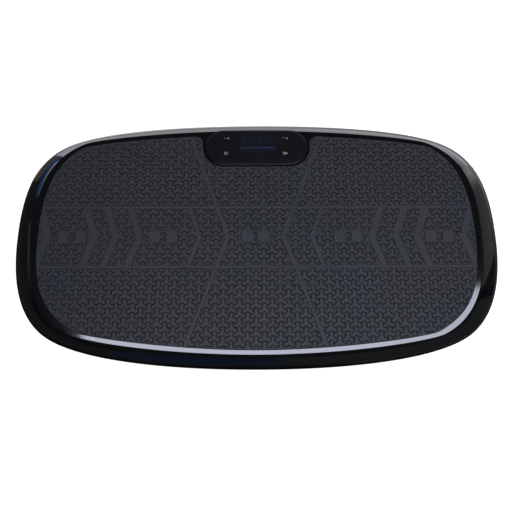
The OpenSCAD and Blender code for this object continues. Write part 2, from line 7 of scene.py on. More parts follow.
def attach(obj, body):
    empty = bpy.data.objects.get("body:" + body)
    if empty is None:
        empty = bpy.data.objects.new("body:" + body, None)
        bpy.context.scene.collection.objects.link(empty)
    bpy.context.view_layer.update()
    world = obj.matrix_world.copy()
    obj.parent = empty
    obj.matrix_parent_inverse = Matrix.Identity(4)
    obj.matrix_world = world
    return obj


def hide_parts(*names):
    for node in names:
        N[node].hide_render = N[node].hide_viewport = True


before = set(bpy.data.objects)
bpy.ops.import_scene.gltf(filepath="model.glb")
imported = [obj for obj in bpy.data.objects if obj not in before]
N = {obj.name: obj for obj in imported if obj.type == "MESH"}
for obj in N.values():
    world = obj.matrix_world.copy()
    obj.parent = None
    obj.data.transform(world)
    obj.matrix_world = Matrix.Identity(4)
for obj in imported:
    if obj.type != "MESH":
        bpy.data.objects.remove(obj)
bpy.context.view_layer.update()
MM = 0.001

# ------------------------------------------------------------------ outlines (mm)
OUTER = ([380.6, 202, 328.7, 155.7, 36, 135, 68, 63.6, 53.6], [380.6, 202, 326.1, 150.5, 36.6, 136, 67.6, 63.2, 48.6])
CREST = ([350.7, 183.6, 276.8, 161.3, 22.2, 146, 48.1, 17.5, 83.4], [350.7, 183.1, 279.1, 153.3, 25.3, 137.2, 62.7, 22.6, 64.9])
MAT = ([340.6, 175.1, 282.5, 151.4, 31, 118.5, 66, 19, 56.5], [340.6, 175.6, 274.4, 147, 30.5, 120.6, 78.5, 18.5, 59])
LAND, DECK, UNDER, MID, SKIRT = 139.0, 135.0, 132.0, 117.0, 66.0
EDGE = 38.0                              # where the rounded edge's arc starts, degrees
PY, PR, PHW = 152.75, 32.25, 84.25       # control panel: middle, radius, half width


def bez(a, b, c, d, t):
    t = t[:, None]
    return (1-t)**3*a + 3*(1-t)**2*t*b + 3*(1-t)*t*t*c + t**3*d


def quarter(o, n):
    A, B, qx, qy, th, k1, k2, t1, t2 = o
    T = np.array([math.cos(math.radians(th)), -math.sin(math.radians(th))])
    Q = np.array([qx, qy])
    t = np.linspace(0, 1, n)
    a = bez(np.array([0, B]), np.array([k1, B]), Q-t1*T, Q, t)
    b = bez(Q, Q+t2*T, np.array([A, k2]), np.array([A, 0]), t)
    return np.vstack([a, b[1:]])


def ring(o, n):
    """n points round an outline (back half, front half), spread by length and by turning, anticlockwise from +X."""
    q, g = quarter(o[0], 400)[::-1], quarter(o[1], 400)[::-1]
    full = np.vstack([q, (q*[-1, 1])[::-1][1:], (g*[-1, -1])[1:], (g*[1, -1])[::-1][1:-1]])
    d = np.diff(np.vstack([full, full[:1]]), axis=0)
    step = np.hypot(d[:, 0], d[:, 1])
    ang = np.unwrap(np.arctan2(d[:, 1], d[:, 0]))
    turn = np.abs(np.append(np.diff(ang), 2*math.pi - (ang[-1]-ang[0])))
    w = step/step.sum() + 0.8*turn/turn.sum()
    s = np.concatenate([[0], np.cumsum(w)])
    s /= s[-1]
    at = np.arange(n)/n
    full = np.vstack([full, full[:1]])
    return np.stack([np.interp(at, s, full[:, 0]), np.interp(at, s, full[:, 1])], 1)


def normals(r):
    t = np.roll(r, -1, 0) - np.roll(r, 1, 0)
    t /= np.linalg.norm(t, axis=1)[:, None]
    return np.stack([t[:, 1], -t[:, 0]], 1)


def inset(r, d):
    return r - d*normals(r)


def mesh_object(name, verts, faces, body, mats, smooth=True, mat_index=None):
    me = bpy.data.meshes.new(name)
    me.from_pydata([tuple(v) for v in verts], [], [tuple(f) for f in faces])
    me.validate()
    for m in mats:
        me.materials.append(m)
    if mat_index is not None:
        me.polygons.foreach_set("material_index", mat_index)
    me.polygons.foreach_set("use_smooth", [smooth]*len(me.polygons))
    me.update()
    o = bpy.data.objects.new(name, me)
    bpy.context.scene.collection.objects.link(o)
    if body:
        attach(o, body)
    return o


def active(o):
    bpy.context.view_layer.objects.active = o
    for x in bpy.context.selected_objects:
        x.select_set(False)
    o.select_set(True)


def apply_all(o):
    active(o)
    for m in list(o.modifiers):
        bpy.ops.object.modifier_apply(modifier=m.name)


def smooth_by_angle(o, deg):
    me = o.data
    bm = bmesh.new()
    bm.from_mesh(me)
    for e in bm.edges:
        e.smooth = not (len(e.link_faces) == 2 and e.calc_face_angle(0) > math.radians(deg))
    for f in bm.faces:
        f.smooth = True
    bm.to_mesh(me)
    bm.free()


def loft(rings, caps=True):
    """rings: list of (n x 2 outline in mm, z in mm), first cap faces down when the list goes up."""
    n = len(rings[0][0])
    v = np.vstack([np.column_stack([r, np.full(n, z) if np.isscalar(z) else z]) for r, z in rings])*MM
    f = []
    for j in range(len(rings)-1):
        a, b = j*n, (j+1)*n
        for i in range(n):
            k = (i+1) % n
            f.append((a+i, a+k, b+k, b+i))
    if caps:
        f.append(tuple(range(n-1, -1, -1)))
        f.append(tuple((len(rings)-1)*n+i for i in range(n)))
    return v, f


def prism(name, pts, z0, z1):
    """A plain cutter."""
    n = len(pts)
    v = [(x*MM, y*MM, z0*MM) for x, y in pts] + [(x*MM, y*MM, z1*MM) for x, y in pts]
    f = [tuple(range(n-1, -1, -1)), tuple(range(n, 2*n))] + [(i, (i+1) % n, n+(i+1) % n, n+i) for i in range(n)]
    me = bpy.data.meshes.new(name)
    me.from_pydata(v, [], f)
    o = bpy.data.objects.new(name, me)
    bpy.context.scene.collection.objects.link(o)
    return o


def cut(o, cutters, op="DIFFERENCE"):
    for c in cutters:
        before = o.data.copy()
        for solver in ("MANIFOLD", "EXACT"):
            m = o.modifiers.new("cut", "BOOLEAN")
            m.operation, m.object, m.solver = op, c, solver
            active(o)
            bpy.ops.object.modifier_apply(modifier=m.name)
            if len(o.data.vertices) > 0.5*len(before.vertices):
                break
            o.data = before.copy()
        else:
            raise RuntimeError("cut failed: " + o.name + " " + c.name)
        bpy.data.objects.remove(c)


def stadium(hw, r, cy, n=24):
    a = np.linspace(-math.pi/2, math.pi/2, n+1)
    R = np.stack([hw-r + r*np.cos(a), cy + r*np.sin(a)], 1)
    return np.vstack([R, np.stack([-R[::-1, 0], R[::-1, 1]], 1)])


def circle(cx, cy, r, n=32, a0=0.0, a1=2*math.pi, close=False):
    a = np.linspace(a0, a1, n + (1 if close else 0), endpoint=close)
    return np.stack([cx + r*np.cos(a), cy + r*np.sin(a)], 1)


# ------------------------------------------------------------------ materials
def new_mat(name):
    m = bpy.data.materials.new(name)
    m.use_nodes = True
    nt = m.node_tree
    return m, nt, nt.nodes["Principled BSDF"]


def noise(nt, scale, detail=4, rough=0.5, coord=None, w=None):
    c = coord or nt.nodes.new("ShaderNodeTexCoord").outputs["Object"]
    t = nt.nodes.new("ShaderNodeTexNoise")
    t.inputs["Scale"].default_value = scale
    t.inputs["Detail"].default_value = detail
    t.inputs["Roughness"].default_value = rough
    nt.links.new(c, t.inputs["Vector"])
    return t.outputs["Fac"]


def ramp(nt, fac, stops):
    r = nt.nodes.new("ShaderNodeValToRGB")
    e = r.color_ramp.elements
    while len(e) < len(stops):
        e.new(0.5)
    for x, (p, c) in zip(e, stops):
        x.position = p
        x.color = (c, c, c, 1) if np.isscalar(c) else (*c, 1)
    nt.links.new(fac, r.inputs["Fac"])
    return r.outputs["Color"]


def mix(nt, fac, a, b, mode="MIX"):
    m = nt.nodes.new("ShaderNodeMix")
    m.data_type, m.blend_type = "RGBA", mode
    for sock, val in ((m.inputs[0], fac), (m.inputs[6], a), (m.inputs[7], b)):
        if hasattr(val, "is_output") or hasattr(val, "links"):
            nt.links.new(val, sock)
        elif np.isscalar(val):
            sock.default_value = val if sock == m.inputs[0] else (val, val, val, 1)
        else:
            sock.default_value = (*val, 1)
    return m.outputs[2]


def math_node(nt, op, a, b=0.0, c=0.0, clamp=False):
    m = nt.nodes.new("ShaderNodeMath")
    m.operation, m.use_clamp = op, clamp
    for sock, val in zip(m.inputs, (a, b, c)):
        if np.isscalar(val):
            sock.default_value = val
        else:
            nt.links.new(val, sock)
    return m.outputs[0]


def bump(nt, height, strength, distance):
    b = nt.nodes.new("ShaderNodeBump")
    b.inputs["Strength"].default_value = strength
    b.inputs["Distance"].default_value = distance
    nt.links.new(height, b.inputs["Height"])
    return b.outputs["Normal"]


def gloss_black(name, col, rough, smudge=0.05, peel=0.00001):
    m, nt, p = new_mat(name)
    big = noise(nt, 9, 5, 0.6)
    fine = noise(nt, 700, 3, 0.6)
    streak = nt.nodes.new("ShaderNodeMapping")
    streak.inputs["Scale"].default_value = (260, 30, 60)
    tc = nt.nodes.new("ShaderNodeTexCoord")
    nt.links.new(tc.outputs["Object"], streak.inputs["Vector"])
    wipe = noise(nt, 1.0, 3, 0.6, streak.outputs["Vector"])
    dust = ramp(nt, noise(nt, 1500, 2, 0.5), [(0.0, 0.0), (0.76, 0.0), (0.84, 0.8)])
    base = mix(nt, dust, col, tuple(min(1, c*2.5+0.03) for c in col))
    nt.links.new(mix(nt, big, base, mix(nt, 0.5, base, col), "MIX"), p.inputs["Base Color"])
    r = mix(nt, ramp(nt, big, [(0.35, 0.0), (0.7, 1.0)]), rough, rough + smudge)
    r = mix(nt, ramp(nt, wipe, [(0.45, 0.0), (0.75, 0.35)]), r, rough + 0.10)
    nt.links.new(r, p.inputs["Roughness"])
    nt.links.new(bump(nt, fine, 0.25, peel), p.inputs["Normal"])
    p.inputs["IOR"].default_value = 1.5
    return m


def moulded(name, col, rough, grain=900, depth=0.00006, edge=None, strength=0.35):
    """Moulded plastic or rubber with a fine cast texture and slow changes of shade."""
    m, nt, p = new_mat(name)
    big, mid, fine = noise(nt, 14, 4, 0.6), noise(nt, 120, 4, 0.6), noise(nt, grain, 3, 0.65)
    c = mix(nt, ramp(nt, big, [(0.3, 0.0), (0.7, 1.0)]), tuple(x*0.88 for x in col), tuple(x*1.12 for x in col))
    c = mix(nt, ramp(nt, mid, [(0.4, 0.0), (0.65, 0.25)]), c, tuple(x*1.35 for x in col))
    if edge:
        g = nt.nodes.new("ShaderNodeNewGeometry")
        c = mix(nt, ramp(nt, g.outputs["Pointiness"], [(0.50, 0.0), (0.58, 0.8)]), c, edge)
    nt.links.new(c, p.inputs["Base Color"])
    nt.links.new(mix(nt, fine, rough-0.06, rough+0.08), p.inputs["Roughness"])
    nt.links.new(bump(nt, fine, strength, depth), p.inputs["Normal"])
    return m


def metal(name, col, rough, brush=(40, 900, 900), metallic=1.0):
    m, nt, p = new_mat(name)
    tc = nt.nodes.new("ShaderNodeTexCoord")
    mp = nt.nodes.new("ShaderNodeMapping")
    mp.inputs["Scale"].default_value = brush
    nt.links.new(tc.outputs["Object"], mp.inputs["Vector"])
    br = noise(nt, 1.0, 4, 0.6, mp.outputs["Vector"])
    big = noise(nt, 18, 4, 0.6)
    c = mix(nt, br, tuple(x*0.85 for x in col), tuple(min(1, x*1.1) for x in col))
    c = mix(nt, ramp(nt, big, [(0.5, 0.0), (0.8, 0.3)]), c, tuple(x*0.7 for x in col))
    nt.links.new(c, p.inputs["Base Color"])
    nt.links.new(mix(nt, br, rough-0.05, rough+0.12), p.inputs["Roughness"])
    nt.links.new(bump(nt, br, 0.12, 0.00003), p.inputs["Normal"])
    p.inputs["Metallic"].default_value = metallic
    return m


M_GLOSS = gloss_black("gloss_black", (0.0022, 0.0023, 0.0028), 0.05)
M_BEZEL = gloss_black("bezel_black", (0.0075, 0.0079, 0.0102), 0.12, 0.03)
M_BEZEL.node_tree.nodes["Principled BSDF"].inputs["Specular IOR Level"].default_value = 0.09
M_BASE = moulded("base_plastic", (0.016, 0.016, 0.018), 0.5, 1400, 0.00005)
M_FOOT = moulded("foot_rubber", (0.018, 0.018, 0.020), 0.62, 900, 0.00004)
M_RUBBER = moulded("black_rubber", (0.014, 0.014, 0.014), 0.6)
M_PAINT = moulded("painted_steel", (0.028, 0.028, 0.031), 0.36, 1800, 0.00002, edge=(0.09, 0.09, 0.10))
M_STEEL = metal("ground_steel", (0.52, 0.53, 0.55), 0.24)
M_ZINC = metal("zinc", (0.58, 0.58, 0.57), 0.34, (300, 300, 300))
M_BLACKOX = moulded("black_oxide", (0.02, 0.02, 0.021), 0.35, 1800, 0.00002)
M_ALU = metal("cast_aluminium", (0.56, 0.57, 0.59), 0.36, (500, 500, 500))
M_BRONZE = metal("bronze", (0.55, 0.36, 0.15), 0.38, (400, 400, 400))
M_BRASS = metal("plated_brass", (0.75, 0.64, 0.36), 0.22, (60, 700, 700))
M_MAGNET = moulded("magnet", (0.09, 0.09, 0.095), 0.55)
M_ROTOR = metal("rotor_core", (0.34, 0.22, 0.13), 0.42, (900, 40, 40), 0.6)
M_BOARD = moulded("solder_mask", (0.006, 0.085, 0.03), 0.25, 600, 0.00003)
M_PARTS = moulded("component_black", (0.02, 0.022, 0.03), 0.3)
M_TAPE = moulded("transformer_tape", (0.55, 0.42, 0.06), 0.4)
M_NYLON = moulded("nylon", (0.72, 0.70, 0.62), 0.4)
M_INLET = moulded("inlet_plastic", (0.010, 0.010, 0.011), 0.38, 1600, 0.00003)
M_RED = moulded("rocker_red", (0.42, 0.012, 0.008), 0.22, 900, 0.00001)
M_WIRE = moulded("wire_jacket", (0.012, 0.012, 0.012), 0.4, 700, 0.00002)


def mat_rubber():
    """Charcoal rubber: fine grain, slow patches of blue and brown, and painted shade that makes the grooves a little
    darker than the lobes' tops.
    """
    m, nt, p = new_mat("mat_rubber")
    tc = nt.nodes.new("ShaderNodeTexCoord")
    sep = nt.nodes.new("ShaderNodeSeparateXYZ")
    nt.links.new(tc.outputs["Object"], sep.inputs[0])
    base = (0.0246, 0.0254, 0.0284)
    patch = ramp(nt, noise(nt, 11, 3, 0.55), [(0.38, 0.0), (0.62, 1.0)])
    c = mix(nt, patch, tuple(x*y for x, y in zip(base, (0.90, 0.93, 1.0))), tuple(x*y for x, y in zip(base, (1.10, 1.05, 0.98))))
    mott = ramp(nt, noise(nt, 230, 4, 0.6), [(0.35, 0.0), (0.7, 1.0)])
    c = mix(nt, mott, c, mix(nt, 0.16, c, (0.036, 0.037, 0.042)))
    speck = ramp(nt, noise(nt, 2600, 2, 0.5), [(0.0, 0.0), (0.70, 0.0), (0.78, 0.55)])
    c = mix(nt, speck, c, (0.046, 0.047, 0.053))
    blue = ramp(nt, noise(nt, 5.5, 2, 0.5), [(0.50, 0.0), (0.64, 1.0)])
    c = mix(nt, blue, c, mix(nt, 0.24, c, (0.0120, 0.0185, 0.0420)))
    c = mix(nt, ramp(nt, noise(nt, 620, 3, 0.7), [(0.30, 0.0), (0.70, 1.0)]), mix(nt, 0.18, c, (0.006, 0.006, 0.007)), mix(nt, 0.12, c, (0.052, 0.053, 0.058)))
    # painted shade in the grooves: the mask 'low' is 0 in the grooves and 1 on the lobes' tops (by height Z); in the
    # grooves the colour is mixed towards near-black and the specular level is lower
    low = ramp(nt, math_node(nt, "MULTIPLY_ADD", sep.outputs["Z"], 1000.0, -139.0), [(0.0, 0.0), (0.10, 0.0), (0.75, 1.0)])
    c = mix(nt, low, mix(nt, 0.56, c, (0.0048, 0.0052, 0.0068)), c)
    nt.links.new(c, p.inputs["Base Color"])
    fine = noise(nt, 1500, 3, 0.65)
    nt.links.new(mix(nt, fine, 0.42, 0.58), p.inputs["Roughness"])
    nt.links.new(bump(nt, fine, 0.45, 0.00006), p.inputs["Normal"])
    nt.links.new(math_node(nt, "MULTIPLY_ADD", low, 0.06, 0.08), p.inputs["Specular IOR Level"])
    return m


M_MAT = mat_rubber()


def lens_mat():
    """Smoked window with a soft navy glow where the display lies under it."""
    m, nt, p = new_mat("smoked_lens")
    tc = nt.nodes.new("ShaderNodeTexCoord")
    sep = nt.nodes.new("ShaderNodeSeparateXYZ")
    nt.links.new(tc.outputs["Object"], sep.inputs[0])

    def within(sock, mid, half, soft):
        d = math_node(nt, "ABSOLUTE", math_node(nt, "SUBTRACT", sock, mid))
        mr = nt.nodes.new("ShaderNodeMapRange")
        mr.interpolation_type = "SMOOTHSTEP"
        for i_, v_ in ((1, half-soft), (2, half+soft), (3, 1.0), (4, 0.0)):
            mr.inputs[i_].default_value = v_
        nt.links.new(d, mr.inputs[0])
        return mr.outputs[0]
    glow = math_node(nt, "MULTIPLY", within(sep.outputs["X"], 0.002, 0.031, 0.004), within(sep.outputs["Y"], 0.1605, 0.0155, 0.004))
    big = noise(nt, 25, 4, 0.6)
    dust = ramp(nt, noise(nt, 1800, 2, 0.5), [(0.0, 0.0), (0.70, 0.0), (0.78, 0.6)])
    c = mix(nt, big, (0.0098, 0.0104, 0.0134), (0.0135, 0.0141, 0.0178))
    c = mix(nt, glow, c, mix(nt, noise(nt, 420, 3, 0.6), (0.0098, 0.0118, 0.0196), (0.0128, 0.0154, 0.0252)))
    nt.links.new(mix(nt, dust, c, (0.05, 0.05, 0.055)), p.inputs["Base Color"])
    p.inputs["Specular IOR Level"].default_value = 0.12
    nt.links.new(mix(nt, ramp(nt, big, [(0.4, 0.0), (0.7, 1.0)]), 0.10, 0.18), p.inputs["Roughness"])
    nt.links.new(bump(nt, noise(nt, 1200, 2, 0.6), 0.10, 0.00002), p.inputs["Normal"])
    return m


def print_mat(name, col, emit=0.0):
    m, nt, p = new_mat(name)
    v = noise(nt, 900, 3, 0.6)
    nt.links.new(mix(nt, v, tuple(x*0.8 for x in col), col), p.inputs["Base Color"])
    p.inputs["Roughness"].default_value = 0.45
    p.inputs["Specular IOR Level"].default_value = 0.08
    if emit:
        p.inputs["Emission Color"].default_value = (*col, 1)
        p.inputs["Emission Strength"].default_value = emit
    return m


M_LENS = lens_mat()
M_PRINT = print_mat("white_print", (0.42, 0.43, 0.44), 0.0)
M_LED = print_mat("blue_led_dim", (0.0178, 0.0208, 0.0470), 0.0)
M_LED_ON = print_mat("blue_led", (0.0165, 0.0218, 0.0600), 0.16)
M_LED_OFF = print_mat("led_off", (0.0165, 0.0190, 0.0320), 0.0)

# ------------------------------------------------------------------ tread mat
PITCH = 14.3
COLX = PITCH*math.sqrt(3)/2
TOP, FLOOR = 140.0, 138.9
PX = -1.3                                # the moulding sits this far off the casing's middle


def lobe():
    """One interlocking three-armed lobe round its own middle, arms at 90, 210 and 330 degrees."""
    h, half = PITCH/2, PITCH/math.sqrt(3)/2
    prof = [(-1.0, 0.0), (-0.76, 0.95), (-0.60, 2.1), (-0.36, 2.75), (0.36, 2.75), (0.60, 2.1), (0.76, 0.95)]
    pts = []
    for k in range(6):                       # edges facing 90, 150, 210, ... degrees, alternately out and in
        a = math.radians(90 + 60*k)
        n, t = np.array([math.cos(a), math.sin(a)]), np.array([-math.sin(a), math.cos(a)])
        sgn = 1 if k % 2 == 0 else -1
        for s, b in prof:
            pts.append(n*(h + sgn*b) + t*s*half)
    pts = np.array(pts)
    return pts


def offset_loop(P, d):
    """Moves a closed anticlockwise loop inwards by d, mitred."""
    a, b = np.roll(P, 1, 0), np.roll(P, -1, 0)
    e1, e2 = P-a, b-P
    n1 = np.stack([-e1[:, 1], e1[:, 0]], 1)/np.linalg.norm(e1, axis=1)[:, None]
    n2 = np.stack([-e2[:, 1], e2[:, 0]], 1)/np.linalg.norm(e2, axis=1)[:, None]
    m = n1+n2
    m /= np.maximum(np.linalg.norm(m, axis=1)[:, None], 1e-9)
    k = 1/np.clip((m*n1).sum(1), 0.55, 1)
    return P + d*m*k[:, None]


def notch_loop(g=0.0, n=14):
    """The mat's outline where it goes round the panel, from left to right, anticlockwise about the mat (so it dips)."""
    hw, r = PHW + 3 + g, PR + 1.65 + g
    cx = hw - r
    q = np.array([PHW + 3 + 12.4, PY + 7.2])
    rc = 12.4 - g
    arc = circle(cx, PY, r, n, -math.pi/2, 0, True)
    corner = circle(q[0], q[1], rc, 12, math.pi, math.pi/2, True)
    right = np.vstack([arc, corner])
    left = np.stack([-right[::-1, 0], right[::-1, 1]], 1)
    return left, right, q, rc


def mat_outline(n=400):
    """Mat's edge, anticlockwise, with the notch."""
    r = ring(MAT, n)
    left, right, q, rc = notch_loop()
    xr = q[0]
    # outline goes anticlockwise from +X; over the back edge x falls from right to left
    keep = [p for p in r if not (p[1] > 0 and abs(p[0]) < xr + 0.5)]
    keep = np.array(keep)
    i = next(k for k in range(len(keep)) if keep[k, 0] < 0 and keep[k, 1] > 0 and keep[k-1, 0] > 0)
    # the corner's top sits just under the back edge
    return np.vstack([keep[:i], right[::-1], left[::-1], keep[i:]])


def band_polys():
    """Smooth bands: two along X, chevrons between them, and four diagonals to the edges."""
    out = []
    B = 49.0
    for s in (-1, 1):
        out.append([(-345, s*B-2.3), (345, s*B-2.3), (345, s*B+2.3), (-345, s*B+2.3)])
    for x0, w in ((43.5, 7.0), (87.6, 7.4), (181, 10.6), (218, 11.2), (250.8, 11.6), (323, 12.2)):
        for s in (-1, 1):
            o = 0.35*B
            for t in (-1, 1):
                out.append([(s*(x0-w/2)+PX, 0), (s*(x0+w/2)+PX, 0), (s*(x0+o+w/2)+PX, t*B), (s*(x0+o-w/2)+PX, t*B)])
    for s in (-1, 1):
        for t in (-1, 1):
            x1, y1, x2, y2 = 43.8+0.35*B, B, 105.5, 172
            out.append([(s*(x1-2.8)+PX, t*y1), (s*(x1+2.8)+PX, t*y1), (s*(x2+2.8)+PX, t*y2), (s*(x2-2.8)+PX, t*y2)])
    return [np.array(p, float) if poly_area(np.array(p, float)) > 0 else np.array(p[::-1], float) for p in out]


def poly_area(P):
    return 0.5*np.sum(P[:, 0]*np.roll(P[:, 1], -1) - np.roll(P[:, 0], -1)*P[:, 1])


def band_grow(P, d):
    """A band made wider by d on its two long sides only."""
    e = np.roll(P, -1, 0) - P
    long_ = np.hypot(*e.T)
    k = 0 if long_[0] + long_[2] > long_[1] + long_[3] else 1
    out = P.copy()
    for i in (k, k+2):
        j = (i+1) % 4
        n = np.array([e[i, 1], -e[i, 0]])/long_[i]
        out[i] = out[i] + n*d
        out[j] = out[j] + n*d
    return out


def pads():
    out = []
    for x in (-286+PX, -144+PX, PX, 144+PX, 286+PX):
        a, b, r = 22.3, 10.3, 3.0
        P = np.vstack([circle(x+a-r, b-r, r, 4, 0, math.pi/2, True), circle(x-a+r, b-r, r, 4, math.pi/2, math.pi, True),
                       circle(x-a+r, -b+r, r, 4, math.pi, 1.5*math.pi, True), circle(x+a-r, -b+r, r, 4, 1.5*math.pi, 2*math.pi, True)])
        out.append(P)
    return out


def stroke(pts, w):
    """A line of constant width with round joints, as convex pieces."""
    out = []
    for a, b in zip(pts[:-1], pts[1:]):
        a, b = np.array(a, float), np.array(b, float)
        t = (b-a)/np.linalg.norm(b-a)
        n = np.array([-t[1], t[0]])*w/2
        out.append(np.array([a-n, b-n, b+n, a+n]))
    out += [circle(x, y, w/2, 10) for x, y in pts]
    return out


def digits():
    """Plain numbers sunk into the pads: 3 2 1 2 3."""
    shapes = {1: [[(-2.0, 2.9), (0.3, 4.4), (0.3, -4.4)], [(-2.2, -4.4), (2.6, -4.4)]],
              2: [[(-2.7, 2.5), (-1.6, 4.0), (0.4, 4.4), (2.3, 3.5), (2.7, 1.8), (1.7, -0.2), (-2.8, -4.4), (2.9, -4.4)]],
              3: [[(-2.6, 3.2), (-1.2, 4.3), (0.8, 4.3), (2.4, 3.2), (2.4, 1.4), (0.9, 0.25), (-0.6, 0.2)],
                  [(0.9, 0.25), (2.7, -1.1), (2.7, -3.0), (1.1, -4.3), (-1.3, -4.3), (-2.8, -3.1)]]}
    out = []
    for x, d in ((-286, 3), (-144, 2), (0, 1), (144, 2), (286, 3)):
        for line in shapes[d]:
            out += stroke([(x+PX+a*1.45, b*1.4) for a, b in line], 2.9)
    return out


def inside(P, poly):
    """Which of the points P lie in a polygon."""
    x, y = P[:, 0], P[:, 1]
    res = np.zeros(len(P), bool)
    a, b = poly, np.roll(poly, -1, 0)
    for (x1, y1), (x2, y2) in zip(a, b):
        if y1 == y2:
            continue
        c = ((y1 > y) != (y2 > y)) & (x < (x2-x1)*(y-y1)/(y2-y1) + x1)
        res ^= c
    return res


def build_mat():
    outline = mat_outline()
    L = offset_loop(lobe(), 0.88)
    loops, centres = [], []
    for i in range(-29, 30):
        for j in range(-14, 15):
            c = np.array([i*COLX + PX, j*PITCH + (PITCH/2 if i % 2 else 0) + 6.1])
            if abs(c[0]) > 352 or abs(c[1]) > 187:
                continue
            loops.append(L + c)
            centres.append(c)
    centres = np.array(centres)
    near = inside(centres, outline)
    # drop lobes wholly outside the mat
    keep = []
    for k, lp in enumerate(loops):
        if near[k] or inside(lp, outline).any():
            keep.append(k)
    loops = [loops[k] for k in keep]
    bands = band_polys()
    moats = [band_grow(b_, 0.34 if k_ > 1 else 0.22) for k_, b_ in enumerate(bands)] + [offset_loop(p_, -0.5) for p_ in pads()]
    zones = bands + pads()
    engraved = digits()
    inner = offset_loop(outline, 1.0)         # a smooth lip runs round the edge
    verts, edges = [], []

    def add(P):
        s = len(verts)
        verts.extend([Vector((float(x), float(y))) for x, y in P])
        edges.extend([(s+i, s+(i+1) % len(P)) for i in range(len(P))])
    add(outline)
    add(inner)
    for z in zones + moats + engraved:
        add(z)
    for lp in loops:
        add(lp)
    v, e, f, *_ = delaunay_2d_cdt(verts, edges, [], 0, 1e-4)
    V = np.array([(p.x, p.y) for p in v])
    F = np.array([t for t in f if len(t) == 3])
    C = V[F].mean(1)
    ins = inside(C, outline)
    F, C = F[ins], C[ins]
    raised = np.zeros(len(F), bool)
    # lobes: each triangle is tested against the lobes round it
    cell = {}
    for k, lp in enumerate(loops):
        c = lp.mean(0)
        cell.setdefault((int(c[0]//20), int(c[1]//20)), []).append(k)
    by = {}
    for n_, c in enumerate(C):
        by.setdefault((int(c[0]//20), int(c[1]//20)), []).append(n_)
    for (a, b), idx in by.items():
        idx = np.array(idx)
        for da in (-1, 0, 1):
            for db in (-1, 0, 1):
                for k in cell.get((a+da, b+db), ()):
                    raised[idx] |= inside(C[idx], loops[k])
    for group, val in ((moats, False), (zones, True), (engraved, False)):
        for z in group:
            lo, hi = z.min(0), z.max(0)
            idx = np.flatnonzero((C[:, 0] > lo[0]) & (C[:, 0] < hi[0]) & (C[:, 1] > lo[1]) & (C[:, 1] < hi[1]))
            raised[idx[inside(C[idx], z)]] = val
    raised |= ~inside(C, inner)
    return V, F, raised, outline


def make_mat():
    V, F, raised, outline = build_mat()
    a2 = (V[F[:, 1]]-V[F[:, 0]])
    b2 = (V[F[:, 2]]-V[F[:, 0]])
    flip = (a2[:, 0]*b2[:, 1]-a2[:, 1]*b2[:, 0]) < 0
    F[flip] = F[flip][:, ::-1]
    # directed edges and what lies on each side
    side = {}
    for k, (a, b, c) in enumerate(F):
        for p, q in ((a, b), (b, c), (c, a)):
            side[(p, q)] = k
    step, rim = [], []                       # edges of raised tops beside a groove; edges on the mat's outline
    for (p, q), k in side.items():
        o = side.get((q, p))
        if o is None:
            rim.append((p, q, raised[k]))
        elif raised[k] and not raised[o]:
            step.append((p, q))
    # floor points move out into the groove, so that walls lean
    push = np.zeros_like(V)
    cnt = np.zeros(len(V), int)
    for p, q in step + [(p_, q_) for p_, q_, _ in rim]:
        d = V[q]-V[p]
        n = np.array([d[1], -d[0]])/max(np.linalg.norm(d), 1e-9)
        for x in (p, q):
            push[x] += n
            cnt[x] += 1
    ln = np.linalg.norm(push, axis=1)
    ok = (cnt == 2) & (ln > 0.8)
    assert all(r_ for _, _, r_ in rim)
    unit = np.where(ok[:, None], push/np.maximum(ln, 1e-9)[:, None], 0)

    def moved(T, d):
        """Points moved d outwards, except where that turns one of the triangles T over."""
        m = V + unit*d
        for _ in range(4):
            a3, b3 = m[T[:, 1]]-m[T[:, 0]], m[T[:, 2]]-m[T[:, 0]]
            bad = (a3[:, 0]*b3[:, 1]-a3[:, 1]*b3[:, 0]) <= 1e-6
            if not bad.any():
                break
            x = np.unique(T[bad])
            m[x] = V[x]
        return m
    low, top = moved(F[~raised], 0.24), moved(F[raised], -0.42)
    n = len(V)
    verts = np.vstack([np.column_stack([top, np.full(n, TOP)]), np.column_stack([low, np.full(n, FLOOR)]), np.column_stack([V, np.full(n, DECK)]),
                       np.column_stack([V, np.full(n, TOP-0.30)])])*MM
    faces = [tuple(t) for t in F[raised]] + [tuple(t+n) for t in F[~raised]]
    bev = np.zeros(n, bool)                  # points with a bevel; elsewhere the bevel runs out to nothing
    bev[[x for e_ in step + [(p_, q_) for p_, q_, _ in rim] for x in e_]] = True
    for p, q in step:
        faces.append((q, p, p+3*n, q+3*n))
        faces.append((q+3*n, p+3*n, p+n, q+n))
    for p, q, _ in rim:
        faces.append((q, p, p+3*n, q+3*n))
        faces.append((q+3*n, p+3*n, p+2*n, q+2*n))
    nxt = {p: q for p, q, _ in rim}
    start = rim[0][0]
    loop, x = [], start
    while True:
        loop.append(x+2*n)
        x = nxt[x]
        if x == start or len(loop) > len(nxt):
            break
    faces.append(tuple(loop[::-1]))
    used = np.unique(np.concatenate([np.array(f) for f in faces]))
    remap = -np.ones(4*n, int)
    remap[used] = np.arange(len(used))
    faces = [tuple(remap[list(f)]) for f in faces]
    o = mesh_object("tread_mat_moulded", verts[used], faces, "platform", [M_MAT], smooth=False)
    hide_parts("tread_mat")
    return o


mat_obj = make_mat()

# ------------------------------------------------------------------ upper casing
NR = 480
outer, crest, matr = ring(OUTER, NR), ring(CREST, NR), ring(MAT, NR)


